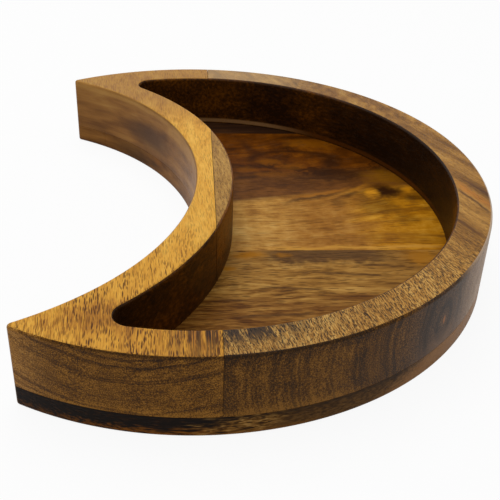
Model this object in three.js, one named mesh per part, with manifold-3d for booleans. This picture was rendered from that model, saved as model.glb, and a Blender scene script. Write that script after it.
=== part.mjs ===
// Crescent moon tray in solid wood. A panel of boards running front to back is sawn to a
// crescent ring, which makes the walls, and is glued on a base panel of boards running
// left to right. Millimetres, +Z up, standing on its base, tips pointing to -X.
import * as THREE from 'three';
import { mergeVertices } from 'three/addons/utils/BufferGeometryUtils.js';
import Module from 'manifold-3d';

// Outside of the crescent, measured from the centre of its outer circle
const OUTER_RADIUS = 150;
const BITE_RADIUS = 144.1;
const BITE_CENTRE_X = -145.1;
const TIP_RADIUS = 2;

// Cavity, a smaller crescent inside the first, with rounded ends
const WALL_THICKNESS = 17.4;
const CAVITY_BITE_RADIUS = 157.3;
const CAVITY_BITE_CENTRE_X = -138.9;
const CAVITY_END_RADIUS = 7.5;

// Heights, and the quarter round that eases every outer arris
const TRAY_HEIGHT = 41;
const BASE_THICKNESS = 10.3;
const ARRIS_RADIUS = 1.5;

// Glued joints: one across the wall panel and two along the base panel
const GLUE_LINE = 0.1;
const WALL_JOINT_X = 8;
const BASE_BOARD_WIDTH = 142.2;
const FRONT_SEAM_Y = -27;
const REAR_SEAM_Y = FRONT_SEAM_Y + BASE_BOARD_WIDTH;

// Fineness of the curves
const ARC_STEP = 5;
const LEAST_ARC_STEPS = 6;
const ARRIS_STEPS = 3;

// Half size of the blocks that part the panels into boards, and of the block round the
// sliver that the right-hand wall board leaves inside the bite
const PANEL_REACH = 200;
const SLIVER_REACH_X = 30;
const SLIVER_REACH_Y = 95;

const BOARD_COLOURS = {
  tip_board: '#c9963f',
  outer_arc_board: '#8f6a39',
  inner_arc_segment: '#94764c',
  base_front_board: '#9a6a2c',
  base_middle_board: '#80511d',
  base_rear_board: '#4a2e17',
};
const OILED_ROUGHNESS = 0.45;

const wasm = await Module();
wasm.setup();

function arcPoints(centreX, centreY, radius, from, to) {
  const steps = Math.max(LEAST_ARC_STEPS, Math.ceil((radius * Math.abs(to - from)) / ARC_STEP));
  const arc = new THREE.EllipseCurve(centreX, centreY, radius, radius, from, to, to < from);
  return arc.getPoints(steps).slice(0, -1);
}

// A round outside, a round bite, and a small arc at each tip that is tangent to both
function crescentOutline(radius, biteCentreX, biteRadius, tipRadius) {
  const tipReach = radius - tipRadius;
  const biteReach = biteRadius + tipRadius;
  const tipX = (tipReach ** 2 - biteReach ** 2 + biteCentreX ** 2) / (2 * biteCentreX);
  const tipY = Math.sqrt(tipReach ** 2 - tipX ** 2);
  const outerAngle = Math.atan2(tipY, tipX);
  const biteAngle = Math.atan2(tipY, tipX - biteCentreX);
  const points = [
    ...arcPoints(0, 0, radius, -outerAngle, outerAngle),
    ...arcPoints(tipX, tipY, tipRadius, outerAngle, Math.PI + biteAngle),
    ...arcPoints(biteCentreX, 0, biteRadius, biteAngle, -biteAngle),
    ...arcPoints(tipX, -tipY, tipRadius, Math.PI - biteAngle, 2 * Math.PI - outerAngle),
  ];
  return { points, leftmost: tipX - tipRadius };
}

function toSolid(geometry) {
  geometry.deleteAttribute('normal');
  geometry.deleteAttribute('uv');
  const merged = mergeVertices(geometry);
  return new wasm.Manifold(new wasm.Mesh({
    numProp: 3,
    vertProperties: merged.attributes.position.array,
    triVerts: new Uint32Array(merged.index.array),
  }));
}

// A prism of the tray's full height, with the arrises at both ends eased
function easedPrism(shape) {
  const geometry = new THREE.ExtrudeGeometry(shape, {
    depth: TRAY_HEIGHT - 2 * ARRIS_RADIUS,
    bevelThickness: ARRIS_RADIUS,
    bevelSize: ARRIS_RADIUS,
    bevelOffset: -ARRIS_RADIUS,
    bevelSegments: ARRIS_STEPS,
  });
  return toSolid(geometry.translate(0, 0, ARRIS_RADIUS));
}

function block(low, high) {
  const size = high.clone().sub(low);
  const middle = low.clone().add(high).multiplyScalar(0.5);
  const geometry = new THREE.BoxGeometry(size.x, size.y, size.z);
  return toSolid(geometry.translate(middle.x, middle.y, middle.z));
}

function board(name, solid) {
  const { vertProperties, triVerts } = solid.getMesh();
  const geometry = new THREE.BufferGeometry();
  geometry.setAttribute('position', new THREE.BufferAttribute(vertProperties, 3));
  geometry.setIndex(new THREE.BufferAttribute(triVerts, 1));
  geometry.computeVertexNormals();
  const material = new THREE.MeshStandardMaterial({
    color: BOARD_COLOURS[name],
    roughness: OILED_ROUGHNESS,
    metalness: 0,
  });
  const mesh = new THREE.Mesh(geometry, material);
  mesh.name = name;
  return mesh;
}

const outside = crescentOutline(OUTER_RADIUS, BITE_CENTRE_X, BITE_RADIUS, TIP_RADIUS);
const cavity = crescentOutline(
  OUTER_RADIUS - WALL_THICKNESS,
  CAVITY_BITE_CENTRE_X,
  CAVITY_BITE_RADIUS,
  CAVITY_END_RADIUS,
);

// The wall panel: the ring above the base, parted at its joint. To the right of the joint
// the cavity leaves two pieces, the long outer arc and a sliver on the inside of the bite.
function wallBoards() {
  const ringShape = new THREE.Shape(outside.points);
  ringShape.holes.push(new THREE.Path(cavity.points));
  const wallFoot = BASE_THICKNESS + GLUE_LINE;
  const ring = easedPrism(ringShape);
  const leftOfJoint = block(
    new THREE.Vector3(-PANEL_REACH, -PANEL_REACH, wallFoot),
    new THREE.Vector3(WALL_JOINT_X - GLUE_LINE / 2, PANEL_REACH, PANEL_REACH),
  );
  const rightOfJoint = block(
    new THREE.Vector3(WALL_JOINT_X + GLUE_LINE / 2, -PANEL_REACH, wallFoot),
    new THREE.Vector3(PANEL_REACH, PANEL_REACH, PANEL_REACH),
  );
  const roundSliver = block(
    new THREE.Vector3(-SLIVER_REACH_X, -SLIVER_REACH_Y, 0),
    new THREE.Vector3(SLIVER_REACH_X, SLIVER_REACH_Y, PANEL_REACH),
  );
  const rightPanel = ring.intersect(rightOfJoint);
  return [
    board('tip_board', ring.intersect(leftOfJoint)),
    board('outer_arc_board', rightPanel.subtract(roundSliver)),
    board('inner_arc_segment', rightPanel.intersect(roundSliver)),
  ];
}

// The base panel: the whole crescent, parted along its seams into three boards
function baseBoards() {
  const panel = easedPrism(new THREE.Shape(outside.points));
  const strips = [
    ['base_front_board', -PANEL_REACH, FRONT_SEAM_Y],
    ['base_middle_board', FRONT_SEAM_Y, REAR_SEAM_Y],
    ['base_rear_board', REAR_SEAM_Y, PANEL_REACH],
  ];
  return strips.map(([name, nearY, farY]) => {
    const strip = block(
      new THREE.Vector3(-PANEL_REACH, nearY + GLUE_LINE / 2, -PANEL_REACH),
      new THREE.Vector3(PANEL_REACH, farY - GLUE_LINE / 2, BASE_THICKNESS),
    );
    return board(name, panel.intersect(strip));
  });
}

// The tray's origin is under the middle of its length and width, where it stands
const tray = new THREE.Group();
tray.add(...wallBoards(), ...baseBoards());
tray.position.x = -(OUTER_RADIUS + outside.leftmost) / 2;

export default tray;
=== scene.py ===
import math

import bpy
from mathutils import Matrix, Vector


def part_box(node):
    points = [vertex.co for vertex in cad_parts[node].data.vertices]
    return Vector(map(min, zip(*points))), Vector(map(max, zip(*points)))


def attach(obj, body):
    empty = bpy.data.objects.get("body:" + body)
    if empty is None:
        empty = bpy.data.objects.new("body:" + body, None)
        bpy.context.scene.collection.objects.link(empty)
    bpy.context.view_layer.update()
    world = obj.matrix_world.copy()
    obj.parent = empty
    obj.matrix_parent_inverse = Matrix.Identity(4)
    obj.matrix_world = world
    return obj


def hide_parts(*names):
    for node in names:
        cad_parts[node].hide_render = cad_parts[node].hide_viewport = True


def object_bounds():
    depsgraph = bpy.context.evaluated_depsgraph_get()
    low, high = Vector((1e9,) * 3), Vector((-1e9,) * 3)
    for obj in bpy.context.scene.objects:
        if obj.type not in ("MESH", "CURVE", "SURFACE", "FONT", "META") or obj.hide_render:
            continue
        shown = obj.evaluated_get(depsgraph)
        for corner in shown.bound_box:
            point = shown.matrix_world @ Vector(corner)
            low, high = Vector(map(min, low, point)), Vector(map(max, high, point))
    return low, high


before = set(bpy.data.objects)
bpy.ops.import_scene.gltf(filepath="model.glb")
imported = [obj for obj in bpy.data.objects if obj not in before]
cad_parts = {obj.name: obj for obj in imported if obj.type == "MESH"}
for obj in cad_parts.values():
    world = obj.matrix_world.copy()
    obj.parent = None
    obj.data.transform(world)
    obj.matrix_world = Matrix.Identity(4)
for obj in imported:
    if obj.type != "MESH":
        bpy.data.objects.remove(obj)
cad_low, cad_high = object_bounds()

# Front board of the base panel
# A planed hardwood board with its grain running left to right, edge-glued to the next one
# and band-sawn to the crescent. Its upper face is the front half of the tray's floor.

MM = 0.001
OUTER_RADIUS = (cad_high.y - cad_low.y) / 2
CENTRE_X = cad_high.x - OUTER_RADIUS
BITE_RADIUS = 144.1 * MM
BITE_X = -145.1 * MM
TIP_RADIUS = 2 * MM
ARRIS = 1.5 * MM
ARRIS_STEPS = 5
SEAM_EASING = 0.08 * MM
HAIRLINE = 0.05 * MM
FLOOR_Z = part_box("base_front_board")[1].z
FRONT_SEAM_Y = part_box("base_front_board")[1].y
LONG_ARC_STEPS = 240
SHORT_ARC_STEPS = 90
ROUND_STEPS = 12
CREASE = math.radians(30)
WELD = 2e-6
OIL_ROUGHNESS = 0.42
FIBRE_ROUGHNESS = 0.15
PORE_ROUGHNESS = 0.1
FIBRE_RELIEF = 0.4
BUMP_STRENGTH = 0.5
BASE_GLOSS = 0.05
BASE_LAYER = {"Foot": 0.0, "Top": FLOOR_Z, "Foot Easing": ARRIS, "Top Easing": SEAM_EASING}


class Flow:
    """What comes out of a node. Arithmetic on it adds Math nodes to the same tree."""

    def __init__(self, nodes, socket):
        self.nodes = nodes
        self.socket = socket

    def output(self, name):
        return Flow(self.nodes, self.socket.node.outputs[name])

    def math(self, operation, *operands):
        return self.nodes.node("ShaderNodeMath", {"operation": operation}, dict(enumerate(operands)))

    def __add__(self, other):
        return self.math("ADD", self, other)

    def __sub__(self, other):
        return self.math("SUBTRACT", self, other)

    def __rsub__(self, other):
        return self.math("SUBTRACT", other, self)

    def __mul__(self, other):
        return self.math("MULTIPLY", self, other)

    def __truediv__(self, other):
        return self.math("DIVIDE", self, other)

    def __gt__(self, other):
        return self.math("GREATER_THAN", self, other)

    def __lt__(self, other):
        return self.math("LESS_THAN", self, other)

    def __abs__(self):
        return self.math("ABSOLUTE", self)

    __radd__ = __add__


class Nodes:
    """A node tree that is being wired up."""

    def __init__(self, tree):
        self.tree = tree

    def node(self, kind, settings=None, sockets=None, out=0):
        made = self.tree.nodes.new(kind)
        for name, value in (settings or {}).items():
            if name == "stops":
                self.set_stops(made.color_ramp, value)
            else:
                setattr(made, name, value)
        for name, value in (sockets or {}).items():
            for part in value if isinstance(value, tuple) and isinstance(value[0], Flow) else [value]:
                if isinstance(part, Flow):
                    self.tree.links.new(part.socket, made.inputs[name])
                else:
                    made.inputs[name].default_value = part
        return Flow(self, made.outputs[out]) if len(made.outputs) else None

    @staticmethod
    def set_stops(ramp, stops):
        while len(ramp.elements) < len(stops):
            ramp.elements.new(1.0)
        for element, (place, colour) in zip(ramp.elements, stops):
            element.position = place
            element.color = colour


def eased_board_tree():
    """A board from its flat outline: upright sides, two flat faces, and eased arrises between them."""
    tree = bpy.data.node_groups.new("eased_board", "GeometryNodeTree")
    inputs = {
        "Outline": "NodeSocketGeometry",
        "Foot": "NodeSocketFloat",
        "Top": "NodeSocketFloat",
        "Foot Easing": "NodeSocketFloat",
        "Top Easing": "NodeSocketFloat",
        "Easing Steps": "NodeSocketInt",
        "Wood": "NodeSocketMaterial",
    }
    for name, kind in inputs.items():
        tree.interface.new_socket(name, in_out="INPUT", socket_type=kind)
    tree.interface.new_socket("Board", in_out="OUTPUT", socket_type="NodeSocketGeometry")
    nodes = Nodes(tree)
    given = nodes.node("NodeGroupInput")
    outline, foot, top, foot_easing, top_easing, steps, wood = (given.output(name) for name in inputs)
    inward = nodes.node(
        "GeometryNodeInputNamedAttribute", {"data_type": "FLOAT_VECTOR"}, {"Name": "inward"}
    )

    def scaled(vector, scale):
        sockets = {"Vector": vector, "Scale": scale}
        return nodes.node("ShaderNodeVectorMath", {"operation": "SCALE"}, sockets)

    # The sides are a grid, one column for each point of the outline and one row for each height
    count = nodes.node("GeometryNodeAttributeDomainSize", {"component": "MESH"}, {"Geometry": outline})
    rows = (steps + 1.0) * 2.0
    sides = nodes.node(
        "GeometryNodeMeshGrid",
        {},
        {"Size X": 1.0, "Size Y": 1.0, "Vertices X": count + 1.0, "Vertices Y": rows},
    )
    index = nodes.node("GeometryNodeInputIndex")
    column = index.math("FLOOR", (index + 0.5) / rows)
    row = index - column * rows
    point = column.math("MODULO", column, count)
    position = nodes.node("GeometryNodeInputPosition")
    sample = {"data_type": "FLOAT_VECTOR", "domain": "POINT"}
    flat = nodes.node(
        "GeometryNodeSampleIndex", sample, {"Geometry": outline, "Value": position, "Index": point}
    )
    pull = nodes.node(
        "GeometryNodeSampleIndex", sample, {"Geometry": outline, "Value": inward, "Index": point}
    )
    quarter = math.pi / 2
    low_turn = row.math("MINIMUM", row / steps, 1.0) * quarter
    high_turn = row.math("MAXIMUM", (row - steps - 1.0) / steps, 0.0) * quarter
    inset = foot_easing * (1.0 - low_turn.math("SINE", low_turn))
    inset = inset + top_easing * (1.0 - high_turn.math("COSINE", high_turn))
    low_z = foot + foot_easing * (1.0 - low_turn.math("COSINE", low_turn))
    high_z = top - top_easing * (1.0 - high_turn.math("SINE", high_turn))
    height = low_z + (row > steps + 0.5) * (high_z - low_z)
    shift = scaled(pull, inset)
    lift = nodes.node("ShaderNodeCombineXYZ", {}, {"Z": height})
    place = nodes.node("ShaderNodeVectorMath", {"operation": "ADD"}, {0: flat, 1: shift})
    place = nodes.node("ShaderNodeVectorMath", {"operation": "ADD"}, {0: place, 1: lift})
    sides = nodes.node("GeometryNodeSetPosition", {}, {"Geometry": sides, "Position": place})

    def face(easing, level):
        offset = scaled(inward, easing)
        edge = nodes.node("GeometryNodeSetPosition", {}, {"Geometry": outline, "Offset": offset})
        curve = nodes.node("GeometryNodeMeshToCurve", {}, {"Mesh": edge})
        filled = nodes.node("GeometryNodeFillCurve", {"mode": "NGONS"}, {"Curve": curve})
        move = nodes.node("ShaderNodeCombineXYZ", {}, {"Z": level})
        filled = nodes.node("GeometryNodeTransform", {}, {"Geometry": filled, "Translation": move})
        return nodes.node("GeometryNodeSetShadeSmooth", {}, {"Geometry": filled, "Shade Smooth": False})

    under = nodes.node("GeometryNodeFlipFaces", {}, {"Mesh": face(foot_easing, foot)})
    upper = face(top_easing, top)
    board = nodes.node("GeometryNodeJoinGeometry", {}, {"Geometry": (upper, under, sides)})
    board = nodes.node("GeometryNodeMergeByDistance", {}, {"Geometry": board, "Distance": WELD})
    bend = nodes.node("GeometryNodeInputMeshEdgeAngle")
    board = nodes.node(
        "GeometryNodeSetShadeSmooth",
        {"domain": "EDGE"},
        {"Geometry": board, "Selection": bend > CREASE, "Shade Smooth": False},
    )
    board = nodes.node("GeometryNodeRealizeInstances", {}, {"Geometry": board})
    board = nodes.node("GeometryNodeSetMaterial", {}, {"Geometry": board, "Material": wood})
    nodes.node("NodeGroupOutput", {}, {"Board": board})
    return tree


EASED_BOARD = eased_board_tree()


def make_board(node, outline, layer, finish):
    """The finished board that stands for a node. outline(easing) is its flat outline, drawn in by easing,
    and layer holds the heights of its foot and top and how far the arrises there are eased."""
    flat = outline(0.0)
    drawn_in = outline(ARRIS)
    mesh = bpy.data.meshes.new(node + "_outline")
    ring = [(k, (k + 1) % len(flat)) for k in range(len(flat))]
    mesh.from_pydata([(x + CENTRE_X, y, 0.0) for x, y in flat], ring, [])
    pull = mesh.attributes.new("inward", "FLOAT_VECTOR", "POINT")
    for item, (x0, y0), (x1, y1) in zip(pull.data, flat, drawn_in):
        item.vector = ((x1 - x0) / ARRIS, (y1 - y0) / ARRIS, 0.0)
    draft = bpy.data.objects.new(node + "_draft", mesh)
    bpy.context.scene.collection.objects.link(draft)
    modifier = draft.modifiers.new("board", "NODES")
    modifier.node_group = EASED_BOARD
    values = {**layer, "Easing Steps": ARRIS_STEPS, "Wood": finish}
    for item in EASED_BOARD.interface.items_tree:
        if item.name in values:
            modifier[item.identifier] = values[item.name]
    shown = draft.evaluated_get(bpy.context.evaluated_depsgraph_get())
    body = bpy.data.meshes.new_from_object(shown)
    bpy.data.objects.remove(draft)
    piece = bpy.data.objects.new(node + "_finished", body)
    bpy.context.scene.collection.objects.link(piece)
    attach(piece, "root")
    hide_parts(node)


def arc(centre_x, centre_y, radius, start, end, steps):
    turns = [start + (end - start) * k / steps for k in range(steps + 1)]
    return [(centre_x + radius * math.cos(a), centre_y + radius * math.sin(a)) for a in turns]


def mirrored(points):
    """The same points on the other side of the line through the middle of the bite, in reverse order."""
    return [(x, -y) for x, y in reversed(points)]


def tip_of(radius, bite_x, bite_radius, tip_radius):
    """Centre of the small arc at a crescent's tip, and the angles where it meets the outside and the bite."""
    x = ((radius - tip_radius) ** 2 - (bite_radius + tip_radius) ** 2 + bite_x ** 2) / (2 * bite_x)
    y = math.sqrt((radius - tip_radius) ** 2 - x ** 2)
    return x, y, math.atan2(y, x), math.atan2(y, x - bite_x)


TIP_X, TIP_Y, OUTER_END, BITE_END = tip_of(OUTER_RADIUS, BITE_X, BITE_RADIUS, TIP_RADIUS)


def base_outline(near_seam, far_seam):
    """Outline of a base board between two seams, counter-clockwise. None stands for a crescent's tip."""

    def outline(easing):
        outside = OUTER_RADIUS - easing
        bite = BITE_RADIUS + easing
        tip = TIP_RADIUS - easing
        pull = SEAM_EASING * easing / ARRIS
        start, end = -OUTER_END, OUTER_END
        bite_start, bite_end = BITE_END, -BITE_END
        far_edge = arc(TIP_X, TIP_Y, tip, OUTER_END, math.pi + BITE_END, ROUND_STEPS)[1:-1]
        near_edge = mirrored(far_edge)

        def straight(y):
            right = math.sqrt((outside - SEAM_EASING) ** 2 - y ** 2)
            left = BITE_X + math.sqrt((bite + SEAM_EASING) ** 2 - y ** 2)
            return [(right, y), (left, y)]

        if far_seam is not None:
            y = far_seam - HAIRLINE - pull
            end = math.asin((y - SEAM_EASING) / outside)
            bite_start = math.asin((y - SEAM_EASING) / bite)
            far_edge = straight(y)
        if near_seam is not None:
            y = near_seam + HAIRLINE + pull
            start = math.asin((y + SEAM_EASING) / outside)
            bite_end = math.asin((y + SEAM_EASING) / bite)
            near_edge = straight(y)[::-1]
        round_side = arc(0, 0, outside, start, end, LONG_ARC_STEPS)
        bite_side = arc(BITE_X, 0, bite, bite_start, bite_end, SHORT_ARC_STEPS)
        return round_side + far_edge + bite_side + near_edge

    return outline


def stain(red, green, blue):
    """A colour as it looks on screen, 0 to 255, as the linear values that a shader takes."""
    linear = []
    for level in (red / 255, green / 255, blue / 255):
        linear.append(level / 12.92 if level <= 0.04045 else ((level + 0.055) / 1.055) ** 2.4)
    return (*linear, 1.0)


class Wood(Nodes):
    """An oiled wood. Lengths are millimetres, from the middle of the tray's outer circle and the table.
    turn is how level a face has to be to count as a face and not as an edge."""

    def __init__(self, name, turn=0.98):
        self.material = bpy.data.materials.new(name)
        self.material.use_nodes = True
        super().__init__(self.material.node_tree)
        self.tree.nodes.clear()
        coordinates = self.node("ShaderNodeTexCoord", out="Object")
        place = self.node("ShaderNodeSeparateXYZ", {}, {"Vector": coordinates})
        self.x = place / MM - CENTRE_X / MM
        self.y = place.output("Y") / MM
        self.z = place.output("Z") / MM
        facing = self.node("ShaderNodeSeparateXYZ", {}, {"Vector": coordinates.output("Normal")})
        rise = facing.output("Z")
        self.upright = self.fade(rise, turn - 0.08, turn)
        self.arris = self.smooth(rise, 0.0, 0.3) * self.upright
        self.wander = self.noise(self.x / 20, self.y / 20, self.z / 20, 1.0) - 0.5
        self.ragged = self.noise(self.x / 5, self.y / 5, self.z / 5) - 0.5
        self.along = self.across = self.up = None

    def smooth(self, value, low, high):
        return self.node(
            "ShaderNodeMapRange",
            {"interpolation_type": "SMOOTHSTEP"},
            {"Value": value, "From Min": low, "From Max": high},
        )

    def fade(self, value, low, high):
        """1 up to low, falling smoothly to 0 at high."""
        return 1.0 - self.smooth(value, low, high)

    def noise(self, x, y, z, detail=2.0, roughness=0.5):
        point = self.node("ShaderNodeCombineXYZ", {}, {"X": x, "Y": y, "Z": z})
        return self.node(
            "ShaderNodeTexNoise",
            {},
            {"Vector": point, "Scale": 1.0, "Detail": detail, "Roughness": roughness},
        )

    def run_grain(self, turn, waver, reach):
        """Lays the grain along Y, turned by an angle, and lets it waver sideways over a reach."""
        lean = math.radians(turn)
        along = self.y * math.cos(lean) - self.x * math.sin(lean)
        across = self.x * math.cos(lean) + self.y * math.sin(lean)
        drift = self.noise(along / reach, across / (reach * 0.4), self.z / (reach * 0.4), 1.0) - 0.5
        self.along = along
        self.across = across + drift * (4.0 * waver)
        self.up = self.z + drift * (2.0 * waver)

    def streaks(self, length, width, seed, detail=2.0, roughness=0.5):
        """Streaks of about that length along the grain and width across it, from 0 to 1 about a half."""
        return self.noise(
            self.along / length + seed, self.across / width + seed, self.up / width, detail, roughness
        )

    def pores(self, length, width, seed, share):
        """Open pores, dark: dashes along the grain, dots on end grain, in a share of their places."""
        point = self.node(
            "ShaderNodeCombineXYZ",
            {},
            {"X": self.along / length + seed, "Y": self.across / width + seed, "Z": self.up / width},
        )
        nearest = self.node("ShaderNodeTexVoronoi", {}, {"Vector": point, "Scale": 1.0})
        chance = self.node("ShaderNodeSeparateColor", {}, {"Color": nearest.output("Color")})
        return self.fade(nearest, 0.24, 0.44) * (chance < share)

    def growth(self, field, spacing, seed):
        """Late wood: dark bands of uneven width and depth where a field in millimetres passes them."""
        depth = self.noise(field / spacing + seed, self.along / 200, seed, 2.0, 0.6)
        return self.smooth(depth, 0.48, 0.7)

    def distance(self, first, second):
        return first.math("SQRT", first * first + second * second)

    def spot(self, x, y, reach_x, reach_y):
        """1 in the middle of an oval patch in plan, fading to 0 at its ragged edge."""
        away = self.distance((self.x - x) / reach_x, (self.y - y) / reach_y)
        return self.fade(away + self.wander * 0.8 + self.ragged * 0.7, 0.25, 1.0)

    def figure_line(self, x0, y0, x1, y1, half):
        """1 along a wavering line between two places in plan, fading to 0 beside it and past its ends."""
        length = math.hypot(x1 - x0, y1 - y0)
        turn_x = (x1 - x0) / length
        turn_y = (y1 - y0) / length
        along = (self.x - x0) * turn_x + (self.y - y0) * turn_y
        beside = (self.y - y0) * turn_x - (self.x - x0) * turn_y
        beside = beside + (self.wander * 2.5 + self.ragged) * half
        begun = self.smooth(along, -2.0 * half, 3.0 * half)
        ended = self.smooth(along, length - 3.0 * half, length + 2.0 * half)
        return begun * (1.0 - ended) * self.fade(abs(beside), 0.0, half)

    def patches(self, colour, tint, *spots):
        """The colour with oval patches of a tint: x, y, reach in x, reach in y and depth of each."""
        for *place, depth in spots:
            colour = self.mix(self.spot(*place) * depth, colour, tint)
        return colour

    def lines(self, colour, tint, *strokes):
        """The colour with wavering lines of a tint: both ends, half width and depth of each."""
        for *course, depth in strokes:
            colour = self.mix(self.figure_line(*course) * depth, colour, tint)
        return colour

    def mix(self, share, first, second):
        return self.node(
            "ShaderNodeMix", {"data_type": "RGBA"}, {0: share, 6: first, 7: second}, out=2
        )

    def ramp(self, value, *stops):
        return self.node("ShaderNodeValToRGB", {"stops": stops}, {"Fac": value})

    def finish(self, colour, fibre, pores, depth, gloss):
        """An oil finish over the colour, with the fibres raised and the pores sunk by a depth."""
        roughness = OIL_ROUGHNESS + (fibre - 0.5) * FIBRE_ROUGHNESS + pores * PORE_ROUGHNESS
        relief = fibre * FIBRE_RELIEF - pores
        height = self.node(
            "ShaderNodeBump",
            {},
            {"Strength": BUMP_STRENGTH, "Distance": depth * MM, "Height": relief},
        )
        shader = self.node(
            "ShaderNodeBsdfPrincipled",
            {},
            {"Base Color": colour, "Roughness": roughness, "Normal": height, "Specular IOR Level": gloss},
        )
        self.node("ShaderNodeOutputMaterial", {}, {"Surface": shader})
        return self.material


def bite_side(wood):
    """Where the inside of the bite is, and its brown, whose long streaks run on over the base joint, with a
    painted sheen over its middle and front and a painted highlight band under the rim.
    """
    from_centre = wood.distance(wood.x - BITE_X / MM, wood.y)
    bite = BITE_RADIUS / MM
    where = wood.fade(from_centre, bite + 0.9, bite + 2.9) * wood.upright
    flow = wood.noise(wood.y / 50 + 7.3, wood.z / 6 + wood.y / 70, 1.7, 3.0)
    mottle = wood.noise(wood.y / 15, wood.z / 8, 2.6)
    fleck = wood.noise(wood.y / 5, wood.z / 0.9, 4.1)
    tone = 0.42 + (flow - 0.5) * 1.1 + (mottle - 0.5) * 0.9 + (fleck - 0.5) * 0.25 + wood.z * 0.008
    tone = tone + wood.smooth(wood.y, 92, 116) * 0.08
    colour = wood.ramp(
        tone,
        (0.1, stain(70, 42, 18)),
        (0.4, stain(116, 74, 32)),
        (0.7, stain(148, 100, 46)),
        (1.0, stain(176, 128, 64)),
    )
    low_patch = wood.fade(wood.distance((wood.y - 98.0) / 20, (wood.z - 5.0) / 8), 0.2, 1.0)
    colour = wood.mix(low_patch * 0.6, colour, stain(66, 42, 18))
    cloud = wood.fade(wood.distance((wood.y - 84.0) / 26, (wood.z - 22.0) / 12), 0.2, 1.0)
    colour = wood.mix(cloud * 0.85, colour, stain(82, 54, 33))
    # Painted sheen: paler over the middle and front of the bite
    colour = wood.mix(wood.fade(wood.y, 10, 70) * 0.3, colour, stain(176, 136, 98))
    ember = wood.fade(wood.distance((wood.y - 77.0) / 6, (wood.z - 9.0) / 4), 0.0, 1.0)
    colour = wood.mix(ember * 0.6, colour, stain(150, 92, 28))
    # Painted highlight: a lighter band just under the rim
    rim_highlight = wood.smooth(wood.z, 36.6, 38.2) * wood.fade(wood.z, 39.8, 40.6)
    colour = wood.mix(rim_highlight * 0.35, colour, stain(186, 138, 68))
    return where, colour


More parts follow.
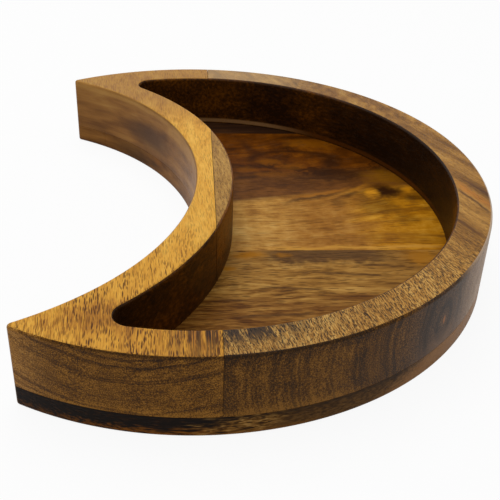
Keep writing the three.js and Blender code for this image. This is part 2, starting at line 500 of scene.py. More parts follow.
def base_front_wood():
    wood = Wood("base_front_oiled")
    wood.run_grain(90, 1.5, 40)
    band = wood.streaks(28, 5, 3.1)
    fibre = wood.streaks(8, 0.65, 7.7, 3.0, 0.65)
    dark = wood.smooth(wood.streaks(12, 2.0, 1.3, 3.0), 0.5, 0.64)
    pores = wood.pores(7, 1.1, 4.6, 0.6)
    calm = wood.smooth(wood.x, 30, 90)
    tone = 0.71 + (band - 0.5) * 0.65 + (fibre - 0.5) * (1.1 - calm * 0.5) - dark * (0.26 - calm * 0.08)
    tone = tone - wood.spot(54, -52, 24, 14) * 0.1
    tone = tone - wood.smooth(wood.x, 70, 110) * 0.1
    tan = wood.ramp(
        tone,
        (0.1, stain(64, 38, 12)),
        (0.4, stain(116, 76, 26)),
        (0.65, stain(156, 110, 46)),
        (0.95, stain(192, 146, 74)),
    )
    warm = wood.ramp(
        tone,
        (0.1, stain(48, 25, 6)),
        (0.4, stain(88, 50, 13)),
        (0.65, stain(122, 78, 28)),
        (0.95, stain(160, 112, 50)),
    )
    near_wall = wood.fade(wood.y + (band - 0.5) * 40, -80, -58)
    colour = wood.mix(near_wall, tan, warm)
    by_seam = wood.smooth(wood.y + (band - 0.5) * 10 + wood.ragged * 12, -42, -35)
    by_seam = by_seam * wood.smooth(wood.x, 28, 42) * wood.fade(wood.x, 86, 106)
    seam_streak = wood.smooth(fibre, 0.36, 0.64)
    colour = wood.mix(by_seam * 0.85, colour, wood.mix(seam_streak, stain(58, 34, 13), stain(92, 60, 30)))
    colour = wood.patches(
        colour,
        stain(168, 106, 2),
        (25.5, -31, 13, 5.5, 0.95),
        (14.4, -43.9, 6, 3, 0.8),
        (42.5, -31.5, 7, 3.5, 0.5),
        (114, -34, 14, 10, 0.6),
    )
    colour = wood.lines(
        colour,
        stain(66, 40, 18),
        (58, -47.5, 92, -51.5, 1.7, 0.65),
        (82, -41, 98, -41.5, 1.5, 0.65),
        (8, -70, 24, -71, 1.4, 0.65),
        (16, -84, 52, -82, 1.8, 0.65),
        (30, -60, 60, -62, 1.4, 0.65),
    )
    colour = wood.mix(pores * 0.6, colour, stain(70, 43, 16))

    # The sawn edge: black heartwood at the left, brown streaks at the front, paler at the right, with a
    # painted shadow along its top under the wall
    edge_streak = wood.streaks(8, 0.9, 6.6, 3.0, 0.6)
    edge = wood.ramp(
        0.6 + (edge_streak - 0.5) * 2.8,
        (0.1, stain(34, 20, 6)),
        (0.4, stain(92, 59, 20)),
        (0.7, stain(146, 102, 46)),
        (1.0, stain(184, 142, 78)),
    )
    edge = wood.mix(wood.pores(3.6, 1.1, 9.9, 0.6) * 0.85, edge, stain(24, 15, 9))
    brown = wood.ramp(
        0.76 + (edge_streak - 0.5) * 1.7 - wood.smooth(wood.z, 3, 8) * 0.2,
        (0.1, stain(30, 19, 7)),
        (0.5, stain(71, 46, 18)),
        (0.9, stain(110, 76, 36)),
    )
    edge = wood.mix(wood.smooth(wood.x + (band - 0.5) * 12, 20, 36), edge, brown)
    bared = wood.smooth(wood.x - wood.z * 2.0 + (edge_streak - 0.5) * 16, 63, 88)
    edge = wood.mix(bared, edge, wood.mix(edge_streak, stain(128, 89, 47), stain(176, 124, 72)))
    # Painted shadow: a dark band along the top of the edge, under the wall
    edge = wood.mix(wood.smooth(wood.z, 7.6, 9.4) * (1.0 - bared) * 0.5, edge, stain(40, 26, 13))
    low_edge = wood.mix(wood.smooth(edge_streak, 0.34, 0.6), stain(34, 20, 7), stain(142, 85, 26))
    low_edge = wood.mix(wood.fade(wood.x, -70, -20) * 0.7, low_edge, stain(44, 27, 14))
    ebony_height = wood.z - (edge_streak - 0.5) * 9 - wood.smooth(wood.x, -25, 12) * 1.5
    black = wood.mix(wood.smooth(edge_streak, 0.46, 0.7) * 0.7, stain(22, 14, 9), stain(54, 33, 16))
    ebony = wood.mix(wood.smooth(ebony_height, 1.0, 5.0), low_edge, black)
    foot = wood.fade(wood.z, 1.0, 3.6) * wood.smooth(wood.x, -5, 12)
    edge = wood.mix(foot * wood.fade(wood.x, 40, 56) * 0.5, edge, stain(150, 98, 36))
    ebony_end = wood.x + (edge_streak - 0.5) * 55 - wood.smooth(wood.z, 6, 9) * 10
    edge = wood.mix(wood.fade(ebony_end, -8, 18), edge, ebony)
    colour = wood.mix(wood.upright, colour, edge)
    where, hollow = bite_side(wood)
    colour = wood.mix(where, colour, hollow)
    return wood.finish(colour, fibre, pores, 0.15, BASE_GLOSS)


make_board(
    "base_front_board",
    base_outline(None, FRONT_SEAM_Y),
    BASE_LAYER,
    base_front_wood(),
)

# Middle board of the base panel
# A wide plain-sawn board, one plank's width between its two seams, whose heart side faces up:
# the growth rings curl round small knots in its rear half, where it is darkest.

REAR_SEAM_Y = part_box("base_middle_board")[1].y


def base_middle_wood():
    wood = Wood("base_middle_oiled")
    wood.run_grain(90, 2.0, 60)
    swirl = wood.noise(wood.x / 45 + 4.0, wood.y / 26, wood.z / 30) - 0.5
    wood.across = wood.across + swirl * wood.smooth(wood.y, 25, 60) * 30
    wood.across = wood.across - wood.smooth(wood.x, 45, 125) * wood.smooth(wood.y, -24, 25) * 18
    cloud = wood.streaks(34, 8, 5.2)
    fibre = wood.streaks(10, 0.9, 2.4, 3.0, 0.6)
    pores = wood.pores(9, 1.1, 8.8, 0.5)
    rise = wood.y - wood.x * 0.18
    bands = wood.growth(rise + swirl * 24 + wood.spot(80, 74, 46, 34) * 14, 9, 1.3)
    tone = 0.64 + (cloud - 0.5) * 0.75 + (fibre - 0.5) * (0.75 - wood.smooth(wood.y, 20, 80) * 0.45)
    tone = tone + (wood.noise(wood.x / 7, wood.y / 7, wood.z / 7 + 2.0, 3.0, 0.6) - 0.5) * 0.8
    tan = wood.ramp(
        tone,
        (0.1, stain(100, 60, 18)),
        (0.4, stain(160, 108, 43)),
        (0.65, stain(194, 142, 66)),
        (0.95, stain(216, 172, 96)),
    )
    amber = wood.ramp(
        tone,
        (0.1, stain(88, 50, 10)),
        (0.4, stain(132, 82, 22)),
        (0.65, stain(158, 104, 36)),
        (0.95, stain(186, 134, 62)),
    )
    tan = wood.mix(wood.smooth(wood.x + (cloud - 0.5) * 50, 32, 66), tan, amber)
    gold = wood.ramp(
        tone,
        (0.1, stain(94, 52, 2)),
        (0.4, stain(146, 89, 6)),
        (0.65, stain(176, 116, 14)),
        (0.95, stain(204, 146, 44)),
    )
    right = wood.smooth(wood.x + (cloud - 0.5) * 40, 78, 106)
    fan = wood.growth(wood.across + wood.wander * 3, 4.5, 7.1)
    clear = wood.mix(bands * 0.15, wood.mix(right, tan, gold), stain(112, 70, 22))
    clear = wood.mix(fan * (0.22 + right * 0.3), clear, stain(96, 56, 10))
    plum = wood.ramp(
        tone - bands * 0.25,
        (0.15, stain(48, 25, 5)),
        (0.5, stain(84, 47, 13)),
        (0.85, stain(114, 69, 25)),
    )
    rust = wood.ramp(
        tone - bands * 0.4,
        (0.1, stain(36, 15, 1)),
        (0.35, stain(62, 29, 1)),
        (0.65, stain(92, 46, 1)),
        (0.95, stain(122, 68, 6)),
    )
    heart = wood.mix(wood.smooth(rise + swirl * 30, 40, 58), plum, rust)
    colour = wood.mix(wood.smooth(rise + (cloud - 0.5) * 10, 17, 26), clear, heart)
    colour = wood.patches(colour, stain(42, 20, 5), (80, 58, 28, 12, 0.75), (82, 73, 8, 8, 0.8))
    hook = wood.distance((wood.x - 58.0) / 25, (wood.y - 78.0) / 11) + wood.wander * 0.5
    hook = wood.fade(abs(hook - 1.0), 0.0, 0.34) * wood.smooth(wood.y, 68, 80)
    colour = wood.mix(hook * 0.75, colour, stain(42, 18, 2))
    colour = wood.lines(
        colour,
        stain(54, 26, 7),
        (25, 106, 40, 84, 5.0, 0.75),
        (40, 83, 56, 74, 4.5, 0.75),
        (44, 101, 76, 99, 4.0, 0.75),
        (50, 22.5, 82, 34.5, 3.0, 0.75),
        (80, 27, 98, 35.5, 3.6, 0.75),
    )
    colour = wood.lines(colour, stain(158, 98, 26), (56, 28, 88, 40, 2.6, 0.7))
    colour = wood.patches(colour, stain(124, 78, 6), (116, 54, 22, 13, 0.8))
    colour = wood.patches(colour, stain(110, 64, 4), (115, 37, 22, 13, 0.6))
    colour = wood.patches(
        colour,
        stain(48, 22, 1),
        (109.4, 37.0, 8.5, 10.5, 1.0),
        (113.2, 36.5, 6, 7.5, 0.9),
        (117, 37.5, 5, 7, 0.6),
        # Painted shadow: this patch darkens the floor at the foot of the right wall
        (124, 29.0, 11, 5, 0.7),
        (103, 20, 15, 13, 0.45),
        (115, 5, 9, 9, 0.3),
        (79.7, 22.8, 5, 5, 0.35),
    )
    colour = wood.patches(
        colour,
        stain(138, 80, 4),
        (43.7, 74.2, 12, 6, 0.42),
        (57.2, 67.8, 12, 7, 0.42),
        (43.2, 57.8, 18, 5, 0.36),
        (29.2, 64.0, 10, 7, 0.42),
        (76, 100, 26, 11, 0.5),
    )
    glint = wood.spot(122.6, 39.6, 7, 9)
    colour = wood.mix(glint * glint, colour, stain(196, 128, 16))
    colour = wood.lines(colour, stain(172, 112, 28), (86, 34.5, 101, 43.5, 3.0, 0.75))
    eye = wood.spot(101.2, 34.0, 5.2, 7.4)
    colour = wood.mix(eye * wood.smooth(fibre + cloud, 0.7, 1.1), colour, stain(204, 138, 30))
    colour = wood.lines(colour, stain(202, 146, 58), (40, -24.6, 128, -24.2, 2.6, 0.7))
    colour = wood.mix(pores * 0.4, colour, stain(78, 46, 16))
    edge = wood.ramp(
        0.5 + (cloud - 0.5) * 1.2 + (fibre - 0.5) * 0.6,
        (0.1, stain(44, 30, 16)),
        (0.5, stain(84, 58, 32)),
        (0.9, stain(118, 86, 52)),
    )
    edge = wood.mix(wood.fade(wood.y, -5, 40) * 0.7, edge, stain(142, 106, 68))
    colour = wood.mix(wood.upright, colour, edge)
    where, hollow = bite_side(wood)
    colour = wood.mix(where, colour, hollow)
    return wood.finish(colour, fibre, pores, 0.12, BASE_GLOSS)


make_board(
    "base_middle_board",
    base_outline(FRONT_SEAM_Y, REAR_SEAM_Y),
    BASE_LAYER,
    base_middle_wood(),
)

# Rear board of the base panel
# A narrow strip of dark heartwood that makes up the width of the panel, mostly hidden
# under the rear wall.


def base_rear_wood():
    wood = Wood("base_rear_oiled")
    wood.run_grain(90, 1.5, 60)
    band = wood.streaks(60, 3.5, 9.1)
    fibre = wood.streaks(16, 0.8, 4.2, 3.0, 0.6)
    tone = 0.5 + (band - 0.5) * 0.9 + (fibre - 0.5) * 0.6
    colour = wood.ramp(
        tone, (0.1, stain(26, 13, 7)), (0.5, stain(44, 25, 14)), (0.9, stain(84, 52, 26))
    )
    where, hollow = bite_side(wood)
    colour = wood.mix(where, colour, hollow)
    return wood.finish(colour, fibre, 0.0, 0.25, BASE_GLOSS)


make_board(
    "base_rear_board",
    base_outline(REAR_SEAM_Y, None),
    BASE_LAYER,
    base_rear_wood(),
)

# Left board of the wall panel, with both tips
# A thick golden board with its grain front to back, glued on the base. The band saw leaves both
# tips and the inside of the bite on it, and its end grain faces the front.

RIM_Z = cad_high.z
WALL_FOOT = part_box("tip_board")[0].z
WALL_LAYER = {"Foot": WALL_FOOT, "Top": RIM_Z, "Foot Easing": SEAM_EASING, "Top Easing": ARRIS}
WALL_GLOSS = 0.1
WALL_THICKNESS = 17.4 * MM
CAVITY_RADIUS = OUTER_RADIUS - WALL_THICKNESS
CAVITY_BITE_RADIUS = 157.3 * MM
CAVITY_BITE_X = -138.9 * MM
CAVITY_END_RADIUS = 7.5 * MM
JOINT_X = 8 * MM
CAVITY_X, CAVITY_Y, CAVITY_END, CAVITY_BITE_END = tip_of(
    CAVITY_RADIUS, CAVITY_BITE_X, CAVITY_BITE_RADIUS, CAVITY_END_RADIUS
)


def on_joint(centre_x, radius, x, side):
    """Angle at which a circle meets a line along the joint. side is 1 at the rear and -1 at the front."""
    return side * math.acos((x - centre_x) / radius)


def joint_point(centre_x, radius, x, side):
    return (x, radius * math.sin(on_joint(centre_x, radius, x, side)))


def tip_outline(easing):
    outside = OUTER_RADIUS - easing
    bite = BITE_RADIUS + easing
    tip = TIP_RADIUS - easing
    cavity = CAVITY_RADIUS + easing
    cavity_end = CAVITY_END_RADIUS + easing
    cavity_bite = CAVITY_BITE_RADIUS - easing
    edge = JOINT_X - HAIRLINE - SEAM_EASING * easing / ARRIS
    inside = edge - SEAM_EASING
    outer_turn = on_joint(0, outside, inside, 1)
    cavity_turn = on_joint(0, cavity, inside, 1)
    bite_turn = on_joint(CAVITY_BITE_X, cavity_bite, inside, 1)
    outer_corner = joint_point(0, outside - SEAM_EASING, edge, 1)
    cavity_corner = joint_point(0, cavity + SEAM_EASING, edge, 1)
    bite_corner = joint_point(CAVITY_BITE_X, cavity_bite - SEAM_EASING, edge, 1)

    # The rear half: the cavity side from joint to joint, and the outer side from the joint to the tip
    cavity_side = (
        [bite_corner]
        + arc(CAVITY_BITE_X, 0, cavity_bite, bite_turn, CAVITY_BITE_END, SHORT_ARC_STEPS)
        + arc(CAVITY_X, CAVITY_Y, cavity_end, math.pi + CAVITY_BITE_END, CAVITY_END, ROUND_STEPS)[1:-1]
        + arc(0, 0, cavity, CAVITY_END, cavity_turn, SHORT_ARC_STEPS)
        + [cavity_corner]
    )
    outer_side = (
        [outer_corner]
        + arc(0, 0, outside, outer_turn, OUTER_END, SHORT_ARC_STEPS)
        + arc(TIP_X, TIP_Y, tip, OUTER_END, math.pi + BITE_END, ROUND_STEPS)[1:-1]
    )
    bite_wall = arc(BITE_X, 0, bite, BITE_END, -BITE_END, LONG_ARC_STEPS)
    return cavity_side + outer_side + bite_wall + mirrored(outer_side) + mirrored(cavity_side)


def line_cavity(wood, colour, fibre):
    """The walls of the cavity are painted almost black, partly their own darker wood and partly painted shade
    of the recess, with a paler strip along the foot at the rear.
    """
    outer = CAVITY_RADIUS / MM
    inner = CAVITY_BITE_RADIUS / MM
    from_bite = wood.distance(wood.x - CAVITY_BITE_X / MM, wood.y)
    within = wood.fade(wood.distance(wood.x, wood.y), outer + 0.8, outer + 1.5)
    within = within * wood.smooth(from_bite, inner - 1.5, inner - 0.8)
    smoke = wood.noise(wood.x / 26, wood.y / 26, wood.z / 14 + 5.0, 3.0)
    grain = wood.streaks(22, 1.7, 5.9, 3.0, 0.6)
    tone = 0.48 + (smoke - 0.5) * 1.2 + (fibre - 0.5) * 0.4 + (grain - 0.5) * 1.5
    # Painted light: the cavity face of the sliver is lifted towards the top
    sliver_light = wood.smooth(wood.x, 4, 12) * wood.fade(abs(wood.y), 88, 100)
    tone = tone + sliver_light * wood.fade(wood.x, 22, 30) * wood.smooth(wood.z, 14, 38) * 0.3
    # Painted shade: the dark ramp stands partly for shade in the recess, and the spot at the rear wall
    # darkens it further
    dark = wood.ramp(
        tone - wood.spot(54, 122, 30, 24) * 0.3,
        (0.1, stain(38, 18, 1)),
        (0.5, stain(73, 39, 1)),
        (0.9, stain(122, 70, 4)),
    )
    # Painted shade: darker at the far right of the cavity
    far_right_shade = wood.smooth(wood.x, 66, 116) * wood.smooth(wood.y, -60, 10)
    dark = wood.mix(far_right_shade * 0.85, dark, stain(22, 10, 1))
    # Painted shade: darker at the front end of the cavity
    front_end_shade = wood.fade(wood.x, -42, -14) * wood.fade(wood.y, -96, -72)
    dark = wood.mix(front_end_shade * 0.9, dark, stain(20, 9, 2))
    pale = wood.mix(fibre, stain(164, 118, 70), stain(210, 158, 102))
    pale = wood.mix(wood.smooth(wood.x, 40, 80), pale, stain(96, 52, 8))
    strip = wood.fade(wood.z, 12.8, 14.2) * wood.smooth(wood.z, 10.6, 11.4)
    strip = strip * wood.smooth(wood.y, -20, 50)
    lining = wood.mix(strip * 0.8, dark, pale)
    return wood.mix(within * wood.upright, colour, lining)


def tip_wood():
    wood = Wood("tip_board_oiled", 0.9)
    wood.run_grain(3, 1.2, 45)
    cloud = wood.streaks(40, 8, 1.7)
    fibre = wood.streaks(7, 0.6, 6.1, 3.0, 0.6)
    dashes = wood.pores(8, 0.72, 2.9, 0.8)
    ticks = wood.pores(4.4, 0.62, 8.4, 0.75)
    fine = wood.smooth(wood.streaks(30, 0.8, 4.7, 2.0, 0.6), 0.44, 0.58)
    crowd = wood.smooth(wood.streaks(22, 8, 5.5), 0.38, 0.58)
    bright = wood.smooth(wood.y, -112, -40) * wood.fade(wood.y, 20, 100)
    point = wood.fade(wood.x, -66, -40)
    tone = 0.62 + (cloud - 0.5) * (0.4 - point * 0.2) + (fibre - 0.5) * (0.8 + point * 0.6) + bright * 0.14
    near = wood.fade(wood.y, -128, -108)
    tone = tone - wood.spot(-40, -124, 30, 15) * 0.2 - wood.smooth(wood.x, -60, -15) * near * 0.1
    mottle = wood.noise(wood.x / 7, wood.y / 12, wood.z / 7, 3.0, 0.6) - 0.5
    tone = tone + point * 0.03 + mottle * wood.smooth(wood.y, 0, 70) * 0.8
    colour = wood.ramp(
        tone,
        (0.1, stain(108, 62, 12)),
        (0.4, stain(172, 114, 34)),
        (0.65, stain(216, 155, 52)),
        (0.95, stain(236, 184, 80)),
    )
    from_outside = wood.smooth(wood.distance(wood.x, wood.y), 136, 147)
    front = near * (1.0 - from_outside * 0.35)
    streaked = wood.mix(fine, stain(44, 22, 6), stain(168, 108, 36))
    for x, half, depth in (
        (-12, 1.4, 0.5),
        (-8.8, 2.4, 0.7),
        (-2.9, 3.8, 0.9),
        (2.6, 2.2, 1.0),
        (5.1, 1.6, 0.9),
    ):
        stripe = wood.fade(abs(wood.x - x + wood.wander * 3), 0.4 * half, half)
        colour = wood.mix(stripe * front * depth, colour, streaked)
    marks = dashes.math("MAXIMUM", dashes, ticks * 0.9) * (0.5 + crowd * 0.5)
    marks = marks * (1.0 - bright * 0.62) * (1.0 - wood.smooth(wood.y, -10, 80) * 0.65)
    marks = marks * (1.0 - point * 0.2)
    colour = wood.mix(marks, colour, stain(76, 40, 8))
    # Painted sheen: the top turns greyer and darker towards the rear
    colour = wood.mix(wood.smooth(wood.y, 45, 110) * 0.56, colour, stain(124, 88, 52))

    # The end grain on the outer side, with growth rings that sag towards the middle
    year = wood.distance(wood.x + 32.0, wood.z - 137.0) + wood.wander * 5
    rings = wood.growth(year, 2.2, 2.2)
    fleck = wood.noise(wood.x / 5, year / 0.6, wood.y / 8, 3.0)
    speck = wood.streaks(9, 0.5, 3.9, 2.0, 0.6)
    # Lighter towards the foot
    height_tone = wood.fade(wood.z, 11, 16) * 0.28
    edge = wood.ramp(
        0.535 + height_tone + (cloud - 0.5) * 0.5 + (fleck - 0.5) * 0.6 + (speck - 0.5) * 2.0 - rings * 0.3,
        (0.1, stain(44, 24, 3)),
        (0.5, stain(105, 65, 11)),
        (0.9, stain(166, 114, 42)),
    )
    sanded = wood.ramp(
        0.5 + (speck - 0.5) * 1.8 + (fleck - 0.5) * 0.9 - rings * 0.35,
        (0.1, stain(106, 68, 24)),
        (0.5, stain(166, 114, 50)),
        (0.9, stain(210, 156, 80)),
    )
    edge = wood.mix(wood.fade(wood.x, -78, -56) * 0.85, edge, sanded)
    colour = wood.mix(wood.upright, colour, edge)
    where, hollow = bite_side(wood)
    colour = wood.mix(where, colour, hollow)
    line = wood.arris * wood.smooth(wood.x, -72, -36) * (0.6 - where * 0.3)
    colour = wood.mix(line, colour, stain(30, 17, 5))
    colour = line_cavity(wood, colour, fibre)
    return wood.finish(colour, fibre, dashes, 0.15, WALL_GLOSS)


make_board("tip_board", tip_outline, WALL_LAYER, tip_wood())

# Right board of the wall panel, the long outer arc
# The other thick board of the wall panel, duller and full of short dark pores that lean across
# the rim. It is sawn to a C, and a knot shows on its outer side at the front right.


def outer_outline(easing):
    outside = OUTER_RADIUS - easing
    cavity = CAVITY_RADIUS + easing
    edge = JOINT_X + HAIRLINE + SEAM_EASING * easing / ARRIS
    inside = edge + SEAM_EASING
    outer_turn = on_joint(0, outside, inside, 1)
    cavity_turn = on_joint(0, cavity, inside, 1)
    return (
        arc(0, 0, outside, -outer_turn, outer_turn, 2 * LONG_ARC_STEPS)
        + [joint_point(0, outside - SEAM_EASING, edge, 1), joint_point(0, cavity + SEAM_EASING, edge, 1)]
        + arc(0, 0, cavity, cavity_turn, -cavity_turn, 2 * LONG_ARC_STEPS)
        + [joint_point(0, cavity + SEAM_EASING, edge, -1), joint_point(0, outside - SEAM_EASING, edge, -1)]
    )


def outer_wood():
    wood = Wood("outer_arc_oiled")
    wood.run_grain(14, 1.4, 40)
    wood.across = wood.across + wood.y.math("MAXIMUM", wood.y + 95.0, 0.0) * 0.25
    cloud = wood.streaks(60, 9, 8.3)
    fibre = wood.streaks(6, 0.6, 3.3, 3.0, 0.6)
    bands = wood.streaks(45, 3.2, 1.9)
    ticks = wood.pores(3.8, 0.64, 7.1, 0.9)
    specks = wood.pores(1.7, 0.5, 5.3, 0.9)
    reach = wood.distance(wood.x, wood.y)
    by_joint = wood.fade(wood.x + (cloud - 0.5) * 50, 16, 76)
    by_joint = by_joint * wood.fade(wood.y, -60, 0) * (1.0 - wood.smooth(reach, 136, 146) * 0.75)
    away = wood.smooth(wood.y, -100, -40)
    tone = 0.645 + (cloud - 0.5) * (0.6 + away * 0.5) + (fibre - 0.5) * (1.9 - away * 1.4)
    tone = tone + by_joint * 0.04 - away * 0.135
    rear = wood.smooth(wood.y, 20, 80)
    tone = tone + (bands - 0.5) * (0.3 + away * 0.35 - rear * 0.45)
    tone = tone + (wood.noise(wood.x / 6, wood.y / 9, wood.z / 6, 3.0, 0.6) - 0.5) * rear * 1.1
    tone = tone - wood.smooth(wood.x, 40, 110) * wood.fade(wood.y, -40, 20) * 0.08
    colour = wood.ramp(
        tone,
        (0.1, stain(82, 50, 14)),
        (0.4, stain(140, 95, 36)),
        (0.65, stain(182, 132, 60)),
        (0.95, stain(210, 166, 92)),
    )
    clot = wood.smooth(wood.streaks(9, 1.5, 2.7, 3.0, 0.6), 0.37, 0.5) * by_joint
    colour = wood.mix(clot * 0.95, colour, stain(48, 33, 22))
    corner = wood.fade(wood.x, 12, 28) * wood.fade(reach, 137, 146)
    colour = wood.mix(corner * wood.fade(wood.y, -60, 0) * 0.35, colour, stain(60, 42, 28))
    marks = ticks.math("MAXIMUM", ticks, specks * 0.95) * (0.9 + by_joint * 0.1) * (1.0 - away * 0.6)
    colour = wood.mix(marks, colour, wood.mix(by_joint, stain(42, 26, 12), stain(30, 21, 15)))
    amber = wood.figure_line(133, -9, 146, -38, 3.6) * wood.smooth(fibre, 0.26, 0.52)
    colour = wood.mix(amber * 0.85, colour, stain(190, 122, 44))
    colour = wood.lines(
        colour,
        stain(84, 49, 16),
        (133, -16, 143, -43, 1.8, 0.9),
        (137, -4, 149, -27, 1.6, 0.75),
        (122, -44, 135, -67, 2.6, 0.7),
        (110, -70, 122, -83, 1.8, 0.5),
    )
    colour = wood.patches(colour, stain(108, 70, 32), (92, 110, 44, 26, 0.36))
    # Painted sheen: the top turns paler towards the rear at the left
    rear_sheen = wood.smooth(wood.y, 90, 125) * wood.fade(wood.x, 40, 90)
    colour = wood.mix(rear_sheen * 0.5, colour, stain(178, 148, 106))

    # The outer side, with bowed growth rings, a grey zone round a knot at the front right and a painted sheen
    # at the far right
    speck = wood.streaks(9, 0.5, 2.1, 2.0, 0.6)
    above = wood.z - 28.0
    bend = wood.x - above * above * 0.008 + (cloud - 0.5) * 3
    rings = wood.growth(bend, 3.2, 3.1)
    fleck = wood.noise(bend / 0.8, wood.z / 11, wood.y / 11, 3.0)
    dark_zone = wood.smooth(wood.x, 56, 66) * wood.fade(wood.x, 92, 112)
    edge_tone = 0.56 + (cloud - 0.5) * 0.5 + (speck - 0.5) * 2.4 + (fleck - 0.5) * 0.7 - rings * 0.2
    edge_tone = edge_tone - dark_zone * 0.16 - wood.fade(wood.x, 8, 20) * 0.14
    # Lighter towards the foot and darker towards the top
    height_tone = wood.fade(wood.z, 11, 16) * 0.34 - wood.smooth(wood.z, 33, 39) * 0.2
    edge_tone = edge_tone + height_tone * wood.fade(wood.x, 60, 74)
    edge = wood.ramp(
        edge_tone,
        (0.1, stain(42, 24, 3)),
        (0.5, stain(100, 62, 12)),
        (0.9, stain(148, 101, 38)),
    )
    for x, half in ((34.8, 0.9), (37.2, 0.7), (51.3, 0.9)):
        line = wood.fade(abs(bend - x), 0.0, half)
        edge = wood.mix(line * 0.5, edge, stain(48, 30, 10))
    knot_turn = math.radians(-45.1)
    knot_z = 24.6
    beside = wood.y * math.cos(knot_turn) - wood.x * math.sin(knot_turn)
    from_knot = wood.distance(beside / 10, (wood.z - knot_z) / 17) + wood.wander * 0.35
    knot_rings = wood.growth(from_knot * 8.0, 3.0, 6.4)
    grey = wood.ramp(
        0.55 + (speck - 0.5) * 2.0 - knot_rings * 0.6,
        (0.1, stain(34, 24, 18)),
        (0.5, stain(70, 49, 32)),
        (0.9, stain(116, 84, 54)),
    )
    facing_right = wood.smooth(wood.x + (cloud - 0.5) * 12, 80, 98)
    edge = wood.mix(facing_right * 0.85, edge, grey)
    pale = wood.ramp(
        0.5 + (speck - 0.5) * 1.4 + (fleck - 0.5) * 0.8 + (cloud - 0.5) * 0.6,
        (0.1, stain(118, 86, 60)),
        (0.5, stain(176, 140, 106)),
        (0.9, stain(212, 180, 146)),
    )
    # Painted sheen: the side turns pale towards the far right
    glare_sheen = wood.smooth(wood.x, 108, 136) * wood.fade(wood.y, 0, 40)
    edge = wood.mix(glare_sheen * 0.85, edge, pale)
    low = wood.fade(wood.z + (cloud - 0.5) * 20, 11, 22) * wood.smooth(wood.x, 86, 106)
    edge = wood.mix(low * (1.0 - glare_sheen) * 0.45, edge, stain(140, 102, 68))
    heart = wood.fade(wood.distance(beside, (wood.z - knot_z) / 2.4), 0.5, 1.3)
    edge = wood.mix(heart * wood.smooth(wood.x, 70, 90), edge, stain(160, 100, 50))
    colour = wood.mix(wood.upright, colour, edge)
    line = wood.arris * wood.fade(wood.x, 52, 74) * 0.65
    colour = wood.mix(line, colour, stain(28, 17, 7))
    # Painted highlight: a pale line along the arris at the far right
    colour = wood.mix(wood.arris * glare_sheen * 0.5, colour, stain(214, 192, 168))
    colour = line_cavity(wood, colour, fibre)
    return wood.finish(colour, fibre, ticks, 0.15, WALL_GLOSS)


make_board("outer_arc_board", outer_outline, WALL_LAYER, outer_wood())

# Sliver of the right wall board on the cavity side of the bite
# The saw leaves a slim lens of the right-hand board glued to the cavity side of the bite wall,
# greyer than the golden board beside it.


def sliver_outline(easing):
    cavity_bite = CAVITY_BITE_RADIUS - easing
    edge = JOINT_X + HAIRLINE + SEAM_EASING * easing / ARRIS
    inside = edge + SEAM_EASING
    start, end = (on_joint(CAVITY_BITE_X, cavity_bite, inside, side) for side in (-1, 1))
    return arc(CAVITY_BITE_X, 0, cavity_bite, start, end, LONG_ARC_STEPS) + [
        joint_point(CAVITY_BITE_X, cavity_bite - SEAM_EASING, edge, side) for side in (1, -1)
    ]


def sliver_wood():
    wood = Wood("inner_arc_oiled")
    wood.run_grain(8, 1.2, 50)
    cloud = wood.streaks(30, 4, 4.4)
    fibre = wood.streaks(6, 0.9, 9.3, 3.0, 0.6)
    ticks = wood.pores(3.2, 0.8, 3.7, 0.9)
    tone = 0.54 + (cloud - 0.5) * 0.7 + (fibre - 0.5) * 1.1
    colour = wood.ramp(
        tone,
        (0.1, stain(98, 64, 22)),
        (0.5, stain(158, 115, 52)),
        (0.9, stain(196, 152, 78)),
    )
    colour = wood.mix(ticks * 0.5, colour, stain(80, 56, 28))
    colour = line_cavity(wood, colour, fibre)
    return wood.finish(colour, fibre, ticks, 0.15, WALL_GLOSS)


make_board("inner_arc_segment", sliver_outline, WALL_LAYER, sliver_wood())

# The studio: a pale floor, a wide soft light overhead, a white surround and the camera
# The floor and the world look white to the camera and in reflections, and the softbox lights the
# wood evenly from above. The camera stands where the photograph was taken from.

FLOOR_SIZE = 8.0
FLOOR_GAP = 0.1 * MM
FLOOR_GLOW = 0.92
PAPER = (0.85, 0.85, 0.85, 1.0)
WHITE = (1.0, 1.0, 1.0, 1.0)
WORLD_LIGHT = 0.35
SOFTBOX_PLACE = Vector((-0.2, 0.25, 1.2))
SOFTBOX_AIM = Vector((0.0, 0.0, 0.02))
SOFTBOX_SIZE = 1.1
SOFTBOX_WATTS = 11.0
CAMERA_PLACE = Vector((-5.35 * MM + CENTRE_X, -408.1 * MM, 252.3 * MM))
CAMERA_YAW, CAMERA_PITCH, CAMERA_ROLL = 4.756, 32.286, 2.246
CAMERA_LENS = 63.36
CAMERA_SENSOR = 36.0
CAMERA_NEAR = 0.01


def seen_directly(nodes):
    """1 for rays that show the studio itself: to the camera, in a gloss, or through glass."""
    path = nodes.node("ShaderNodeLightPath")
    seen = path.math("MAXIMUM", path.output("Is Camera Ray"), path.output("Is Glossy Ray"))
    return path.math("MAXIMUM", seen, path.output("Is Transmission Ray"))


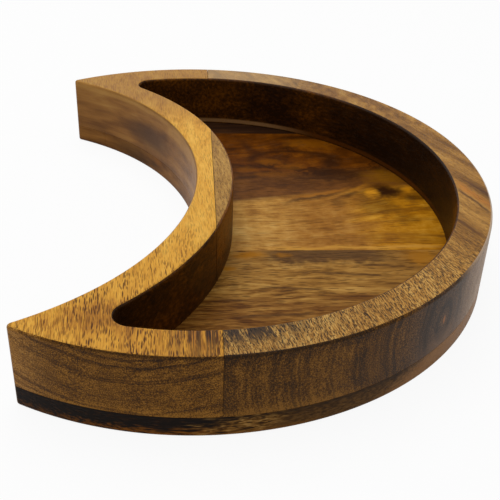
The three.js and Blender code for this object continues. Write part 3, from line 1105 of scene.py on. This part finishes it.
def studio_floor():
    half = FLOOR_SIZE / 2
    mesh = bpy.data.meshes.new("studio_floor")
    corners = ((-half, -half), (half, -half), (half, half), (-half, half))
    mesh.from_pydata([(x, y, -FLOOR_GAP) for x, y in corners], [], [(0, 1, 2, 3)])
    floor = bpy.data.objects.new("studio_floor", mesh)
    bpy.context.scene.collection.objects.link(floor)
    material = bpy.data.materials.new("studio_paper")
    material.use_nodes = True
    nodes = Nodes(material.node_tree)
    nodes.tree.nodes.clear()
    paper = nodes.node("ShaderNodeBsdfDiffuse", {}, {"Color": PAPER})
    glow = nodes.node("ShaderNodeEmission", {}, {"Color": WHITE, "Strength": 1.0})
    share = seen_directly(nodes) * FLOOR_GLOW
    surface = nodes.node("ShaderNodeMixShader", {}, {0: share, 1: paper, 2: glow})
    nodes.node("ShaderNodeOutputMaterial", {}, {"Surface": surface})
    mesh.materials.append(material)


def studio_world():
    world = bpy.data.worlds.new("studio_surround")
    world.use_nodes = True
    nodes = Nodes(world.node_tree)
    nodes.tree.nodes.clear()
    strength = WORLD_LIGHT + seen_directly(nodes) * (1.0 - WORLD_LIGHT)
    surround = nodes.node("ShaderNodeBackground", {}, {"Color": WHITE, "Strength": strength})
    nodes.node("ShaderNodeOutputWorld", {}, {"Surface": surround})
    bpy.context.scene.world = world


studio_floor()
studio_world()

lamp = bpy.data.lights.new("overhead_softbox", "AREA")
lamp.shape = "SQUARE"
lamp.size = SOFTBOX_SIZE
lamp.energy = SOFTBOX_WATTS
softbox = bpy.data.objects.new("overhead_softbox", lamp)
softbox.location = SOFTBOX_PLACE
softbox.rotation_euler = (SOFTBOX_AIM - SOFTBOX_PLACE).to_track_quat("-Z", "Y").to_euler()
bpy.context.scene.collection.objects.link(softbox)

camera = bpy.data.objects.new("camera", bpy.data.cameras.new("camera"))
camera.data.lens = CAMERA_LENS
camera.data.sensor_width = CAMERA_SENSOR
camera.data.clip_start = CAMERA_NEAR
turn = Matrix.Rotation(math.radians(-CAMERA_YAW), 4, "Z")
tilt = Matrix.Rotation(math.radians(90 - CAMERA_PITCH), 4, "X")
roll = Matrix.Rotation(math.radians(CAMERA_ROLL), 4, "Z")
camera.matrix_world = Matrix.Translation(CAMERA_PLACE) @ turn @ tilt @ roll
bpy.context.scene.collection.objects.link(camera)
bpy.context.scene.camera = camera
bpy.context.scene.view_settings.view_transform = "Standard"
